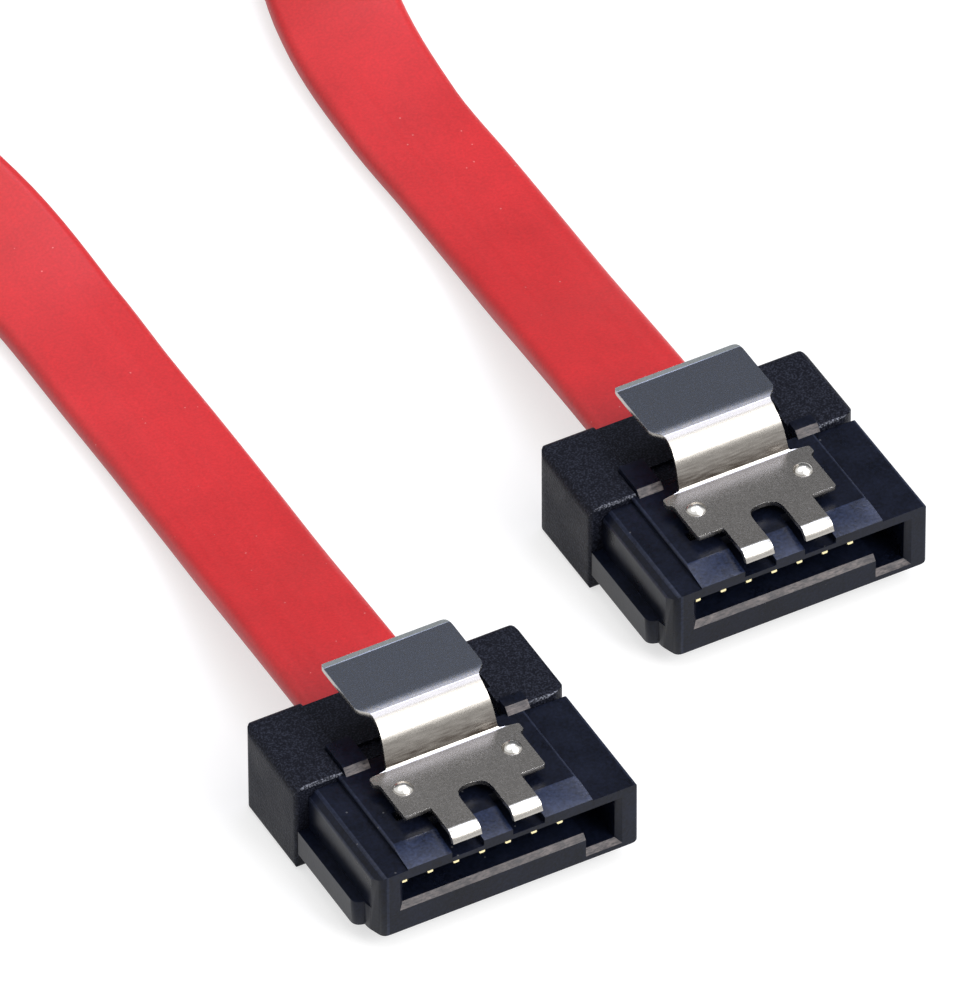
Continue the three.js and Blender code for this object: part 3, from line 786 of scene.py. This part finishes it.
class StageSettings(bpy.types.PropertyGroup):
    """Camera, floor and lamps."""

    azimuth: angle_property("Azimuth", "Camera's direction round the object", -28.329)
    elevation: angle_property("Elevation", "Camera's height above the horizon", 42.729)
    roll: angle_property("Roll", "Camera's turn about its own line of sight", -0.298)
    distance: length_property("Distance", "From the camera to the point it looks at", 0.8736)
    aim: FloatVectorProperty(
        name="Aim",
        description="The point that the camera looks at",
        subtype="TRANSLATION",
        unit="LENGTH",
        size=3,
        precision=5,
        default=(-0.00103, 0.00725, 0.00638),
    )
    lens: FloatProperty(
        name="Lens",
        description="Focal length",
        unit="CAMERA",
        default=733.9,
    )
    floor_colour: colour_property("Floor", "Colour of the floor", "#b4b4b4")
    card_colour: colour_property("Card", "Colour of the grey card behind the object", "#6d6e70")
    sky_level: level_property("Room light", "Strength of the even light from all round", 0.47)
    key_level: level_property("Key lamp", "Strength of the large soft lamp above the front", 1.5)
    core_level: level_property("Key lamp's core", "Strength of that lamp's bright middle", 1.2)
    fill_level: level_property("Fill lamp", "Strength of the soft lamp above the back left", 0.5)
    window_level: level_property("Window", "Strength of the cool window high behind", 0.46)
    window_colour: colour_property("Window colour", "Colour of the window's light", "#dce2ff")


class DataCableSettings(bpy.types.PropertyGroup):
    """All sizes and colours of the cable and its studio."""

    cable: PointerProperty(type=CableSettings)
    plug: PointerProperty(type=PlugSettings)
    latch: PointerProperty(type=LatchSettings)
    stage: PointerProperty(type=StageSettings)


# Operators


class DATACABLE_OT_stage(bpy.types.Operator):
    """Set up the camera, the pale floor, the grey card and the soft lamps"""

    bl_idname = "data_cable.stage"
    bl_label = "Stage"

    def execute(self, context):
        settings = context.scene.data_cable.stage
        self.set_camera(context, settings)
        self.lay_floor(settings)
        self.hang_card(settings)
        self.light_room(context, settings)
        context.scene.view_settings.view_transform = "Standard"
        return {"FINISHED"}

    def towards_camera(self, settings):
        """The direction from the object to the camera."""
        a, e = settings.azimuth, settings.elevation
        return Vector((math.sin(a) * math.cos(e), -math.cos(a) * math.cos(e), math.sin(e)))

    def set_camera(self, context, settings):
        data = bpy.data.cameras.new("camera")
        data.lens = settings.lens
        data.sensor_width = SENSOR_WIDTH
        data.clip_start, data.clip_end = 0.05, 30
        camera = bpy.data.objects.new("camera", data)
        context.scene.collection.objects.link(camera)
        back = self.towards_camera(settings)
        camera.rotation_mode = "QUATERNION"
        turn = Quaternion((0, 0, 1), settings.roll)
        camera.rotation_quaternion = back.to_track_quat("Z", "Y") @ turn
        camera.location = Vector(settings.aim) + back * settings.distance
        context.scene.camera = camera

    def seen_directly(self, tree):
        """1 for the rays that show the background itself, in metal and glass too."""
        path = add(tree, "LightPath").outputs
        shown = combine(tree, "MAXIMUM", path["Is Camera Ray"], path["Is Glossy Ray"])
        return combine(tree, "MAXIMUM", shown, path["Is Transmission Ray"])

    def lay_floor(self, settings):
        bm = bmesh.new()
        bmesh.ops.create_circle(bm, cap_ends=True, radius=FLOOR_RADIUS, segments=64)
        floor = show(bm, "floor", self.floor_material(settings))
        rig.stage(floor)

    def floor_material(self, settings):
        """Matt painted board. What the lamps leave short of white is added for the rays that
        show the board itself, so it is white round the object and keeps its shadow."""
        material, tree, surface, place = bare_material("Painted board matt")
        grain = noise(tree, place, size_mm=2.0)
        grey = settings.floor_colour
        paint = blend(tree, grain, rgba(grey, 0.995), rgba(grey, 1.005))
        matt = add(tree, "BsdfDiffuse", [("Color", paint)])
        lift = combine(tree, "MULTIPLY", self.seen_directly(tree), FLOOR_SHOWN - grey[0])
        glow = add(tree, "Emission", [("Strength", lift)])
        both = add(tree, "AddShader", [(0, matt.outputs[0]), (1, glow.outputs[0])])
        tree.links.new(both.outputs[0], surface)
        return material

    def hang_card(self, settings):
        """A grey card behind the object that only its gloss sees, as in product studios: it
        keeps the flats that face upwards dark and leaves the bends bright."""
        back = self.towards_camera(settings)
        away = -Vector((back.x, back.y, 0)).normalized() * CARD_DISTANCE
        side = Vector((-away.y, away.x, 0)) * (CARD_HALF_WIDTH / CARD_DISTANCE)
        low, high = Vector((0, 0, CARD_LOW)), Vector((0, 0, CARD_HIGH))
        bm = bmesh.new()
        corners = [away - side + low, away + side + low, away + side + high, away - side + high]
        bm.faces.new([bm.verts.new(corner) for corner in corners])
        card = show(bm, "grey_card", self.card_material(settings))
        card.visible_camera = False
        card.visible_diffuse = False
        card.visible_shadow = False
        card.visible_transmission = False
        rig.stage(card)

    def card_material(self, settings):
        """Grey card: even all over, whatever light falls on it."""
        material, tree, surface, _ = bare_material("Card grey")
        glow = add(tree, "Emission", [("Color", rgba(settings.card_colour))])
        tree.links.new(glow.outputs[0], surface)
        return material

    def light_room(self, context, settings):
        """Even light from all round, white where it is seen directly, and four soft lamps."""
        world = bpy.data.worlds.new("studio")
        world.use_nodes = True
        tree = world.node_tree
        tree.nodes.clear()
        inputs = [("Value", self.seen_directly(tree))]
        inputs += [("To Min", settings.sky_level), ("To Max", 1.0)]
        strength = add(tree, "MapRange", inputs).outputs["Result"]
        light = add(tree, "Background", [("Strength", strength)])
        add(tree, "OutputWorld", [("Surface", light.outputs[0])])
        context.scene.world = world
        # Each lamp's strength, colour, direction from the object, and width in degrees.
        lamps = (
            ("key_lamp", settings.key_level, WHITE, (0.35, -0.56, 0.8), 58),
            ("key_lamp_core", settings.core_level, WHITE, (0.35, -0.68, 0.65), 28),
            ("fill_lamp", settings.fill_level, WHITE, (-0.4, 0.25, 1.2), 50),
            ("window", settings.window_level, settings.window_colour, (0.33, 0.23, 0.92), 22),
        )
        for name, level, colour, towards, width in lamps:
            data = bpy.data.lights.new(name, "SUN")
            data.energy = level
            data.color = colour
            data.angle = math.radians(width)
            lamp = bpy.data.objects.new(name, data)
            lamp.rotation_mode = "QUATERNION"
            lamp.rotation_quaternion = Vector(towards).to_track_quat("Z", "Y")
            context.scene.collection.objects.link(lamp)


class DATACABLE_OT_flat_cable(bpy.types.Operator):
    """Lay the flat cable from one boot to the other"""

    bl_idname = "data_cable.flat_cable"
    bl_label = "Flat cable"

    def execute(self, context):
        settings = context.scene.data_cable.cable
        rings = curve_points(self.stops(settings), settings.step)
        section = cable_section(settings.width, settings.thickness, settings.sides)
        cable = self.sweep(rings, section, pvc_extruded(settings))
        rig.ride(cable, "cable")
        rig.replaces(cable, "cable_jacket")
        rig.slot(cable, "jacket")
        exit_x, exit_y, _ = EXITS["a"]
        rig.cord(
            cable,
            exit=(exit_x, exit_y, EXIT_HEIGHT),
            length=CORD_LENGTH,
            diameter=settings.width,
            far_end="object",
            stiffness="medium",
            lay="loose",
            path=[point for point, _ in rings],
        )
        return {"FINISHED"}

    def stops(self, settings):
        """The route with its heights, and the short straight runs inside both boots."""
        stops = [
            (x, y, lying_height(roll, settings.width, settings.thickness) + lift, roll)
            for x, y, roll, lift in ROUTE
        ]
        ends = {}
        for plug, (x, y, roll) in EXITS.items():
            ends[plug] = [(x, y - INSIDE_BOOT, EXIT_HEIGHT, roll), (x, y, EXIT_HEIGHT, roll)]
        return ends["a"] + stops + ends["b"][::-1]

    def sweep(self, rings, section, material):
        """One closed tube of the section, with its run and girth as a UV map in metres."""
        bm = bmesh.new()
        uv = bm.loops.layers.uv.new("run and girth")
        last = len(rings) - 1
        loops, runs = [], []
        run = 0.0
        for i, (point, roll) in enumerate(rings):
            ahead = (rings[min(i + 1, last)][0] - rings[max(i - 1, 0)][0]).normalized()
            across = ahead.cross(Vector((0, 0, 1))).normalized()
            across = Quaternion(ahead, -math.radians(roll)) @ across
            up = ahead.cross(across)
            if i:
                run += (point - rings[i - 1][0]).length
            runs.append(run)
            loops.append([bm.verts.new((point + across * u + up * v) * MM) for u, v in section])
        girths = [0.0]
        for i in range(len(section)):
            here, there = Vector(section[i]), Vector(section[(i + 1) % len(section)])
            girths.append(girths[-1] + (there - here).length)
        for i in range(last):
            for j in range(len(section)):
                k = (j + 1) % len(section)
                face = bm.faces.new((loops[i][j], loops[i][k], loops[i + 1][k], loops[i + 1][j]))
                face.smooth = True
                places = [(runs[i], girths[j]), (runs[i], girths[j + 1])]
                places += [(runs[i + 1], girths[j + 1]), (runs[i + 1], girths[j])]
                for corner, place in zip(face.loops, places):
                    corner[uv].uv = place
        bm.faces.new(loops[0])
        bm.faces.new(loops[-1])
        bmesh.ops.recalc_face_normals(bm, faces=bm.faces)
        return show(bm, "flat_cable", material)


class DATACABLE_OT_housings(bpy.types.Operator):
    """Round and finish both moulded housings"""

    bl_idname = "data_cable.housings"
    bl_label = "Housings"

    def execute(self, context):
        settings = context.scene.data_cable.plug
        moulded = pbt_moulded("PBT black moulded satin gloss", settings.housing_colour)
        # The pads: glossier, and coloured lighter and bluer as painted light.
        glossy_lit_pads = pbt_moulded(
            "PBT black pads glossy painted light",
            settings.pad_painted_light_colour,
            gloss=0.5,
            rough=(0.12, 0.26),
        )
        # Partly painted light: the lead-in slopes are coloured pale for wear and for the light they catch.
        scuffed_and_lit = pbt_scuffed_and_lit(settings)
        # Painted highlight: the edges get a lighter copy of the housing's plastic.
        edge_highlight = pbt_moulded(
            "PBT black moulded edge painted highlight",
            settings.housing_edge_colour,
            low=0.5,
            high=1.5,
        )
        materials = (moulded, glossy_lit_pads, scuffed_and_lit, edge_highlight)
        for plug in PLUGS:
            node = f"housing_{plug}"
            name = f"plug_housing_{plug}"
            piece = rounded(node, name, materials, settings.housing_edge, segments=2)
            dress_slopes(piece, materials.index(glossy_lit_pads), PAD_TILT)
            dress_slopes(piece, materials.index(scuffed_and_lit), LEAD_IN_TILT)
            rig.ride(piece, "cable")
            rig.replaces(piece, node)
            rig.slot(piece, "housing")
        return {"FINISHED"}


class DATACABLE_OT_boots(bpy.types.Operator):
    """Round and finish both soft boots"""

    bl_idname = "data_cable.boots"
    bl_label = "Boots"

    def execute(self, context):
        settings = context.scene.data_cable.plug
        materials = (
            pvc_overmould(
                "PVC black overmould fine grain", settings.boot_colour, settings.grain_colour
            ),
            # Painted highlight: the boot's edges get a light grey copy of its plastic.
            pvc_overmould(
                "PVC black overmould edge rubbed", settings.grain_colour, settings.boot_edge_colour
            ),
        )
        for plug in PLUGS:
            node = f"boot_{plug}"
            name = f"moulded_boot_{plug}"
            piece = rounded(node, name, materials, settings.boot_edge, segments=3)
            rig.ride(piece, "cable")
            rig.replaces(piece, node)
            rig.slot(piece, "boot")
        return {"FINISHED"}


class DATACABLE_OT_latches(bpy.types.Operator):
    """Break the edges of both sprung latches and finish their steel"""

    bl_idname = "data_cable.latches"
    bl_label = "Latches"

    def execute(self, context):
        settings = context.scene.data_cable.latch
        materials = (spring_steel(settings), steel_painted_highlight(settings))
        # The last material, on the edges, is the steel painted bright as a highlight.
        painted_highlight = len(materials) - 1
        for plug in PLUGS:
            node = f"latch_{plug}"
            name = f"spring_latch_{plug}"
            piece = rounded(node, name, materials, settings.edge, segments=3, narrow=0)
            # Painted highlight: the dimples and the hook bends get the bright edge steel too.
            dress_dimples(piece, painted_highlight, settings.riser_shade_from, settings.dimple_top)
            dress_hooks(piece, painted_highlight, settings.riser_shade_from)
            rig.ride(piece, f"latch_spring_{plug}")
            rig.replaces(piece, node)
            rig.slot(piece, "latch")
        return {"FINISHED"}


class DATACABLE_OT_conductors(bpy.types.Operator):
    """Finish the contacts, the wire ends and the inner moulds"""

    bl_idname = "data_cable.conductors"
    bl_label = "Contacts and wires"

    def execute(self, context):
        settings = context.scene.data_cable.plug
        finishes = {
            "contact": gold_plate(settings),
            "signal_wire": wire_plastic("Polyethylene drawn white", settings.wire_colour),
            "drain_wire": tinned_copper(settings),
            "inner_mould": wire_plastic("Polyethylene moulded natural", settings.mould_colour),
        }
        for name, node in NODES.items():
            kind = next((k for k in finishes if name.startswith(k)), None)
            if kind == "contact":
                piece = rounded(
                    name,
                    f"gold_{name}",
                    (finishes[kind],),
                    settings.contact_edge,
                    segments=3,
                    narrow=0,
                )
                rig.ride(piece, "cable")
                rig.replaces(piece, name)
                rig.slot(piece, "contact")
            elif kind:
                for slot in node.material_slots:
                    slot.material = finishes[kind]
        return {"FINISHED"}


OPERATORS = (
    DATACABLE_OT_stage,
    DATACABLE_OT_flat_cable,
    DATACABLE_OT_housings,
    DATACABLE_OT_boots,
    DATACABLE_OT_latches,
    DATACABLE_OT_conductors,
)


class DATACABLE_PT_panel(bpy.types.Panel):
    """The sidebar's list of the cable's pieces"""

    bl_idname = "DATACABLE_PT_panel"
    bl_label = "Data Cable"
    bl_space_type = "VIEW_3D"
    bl_region_type = "UI"
    bl_category = "Data Cable"

    def draw(self, context):
        settings = context.scene.data_cable
        # Boots, contacts and wires use the plug's settings too, which are shown once.
        groups = {
            DATACABLE_OT_stage: settings.stage,
            DATACABLE_OT_flat_cable: settings.cable,
            DATACABLE_OT_housings: settings.plug,
            DATACABLE_OT_latches: settings.latch,
        }
        for operator in OPERATORS:
            box = self.layout.box()
            box.operator(operator.bl_idname)
            group = groups.get(operator)
            for name in group.bl_rna.properties.keys() if group else ():
                if name not in ("rna_type", "name"):
                    box.prop(group, name)


CLASSES = (
    CableSettings,
    PlugSettings,
    LatchSettings,
    StageSettings,
    DataCableSettings,
    *OPERATORS,
    DATACABLE_PT_panel,
)


def register():
    for made in CLASSES:
        bpy.utils.register_class(made)
    bpy.types.Scene.data_cable = PointerProperty(type=DataCableSettings)


def unregister():
    del bpy.types.Scene.data_cable
    for made in reversed(CLASSES):
        bpy.utils.unregister_class(made)


def main():
    cad_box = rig.bounds()
    register()
    bpy.ops.data_cable.stage()
    bpy.ops.data_cable.flat_cable()
    bpy.ops.data_cable.housings()
    bpy.ops.data_cable.boots()
    bpy.ops.data_cable.latches()
    bpy.ops.data_cable.conductors()
    boxes = {"cad": cad_box, "visual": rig.bounds()}
    with open("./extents.json", "w") as out:
        json.dump({name: [list(corner) for corner in box] for name, box in boxes.items()}, out)


if __name__ == "__main__":
    main()
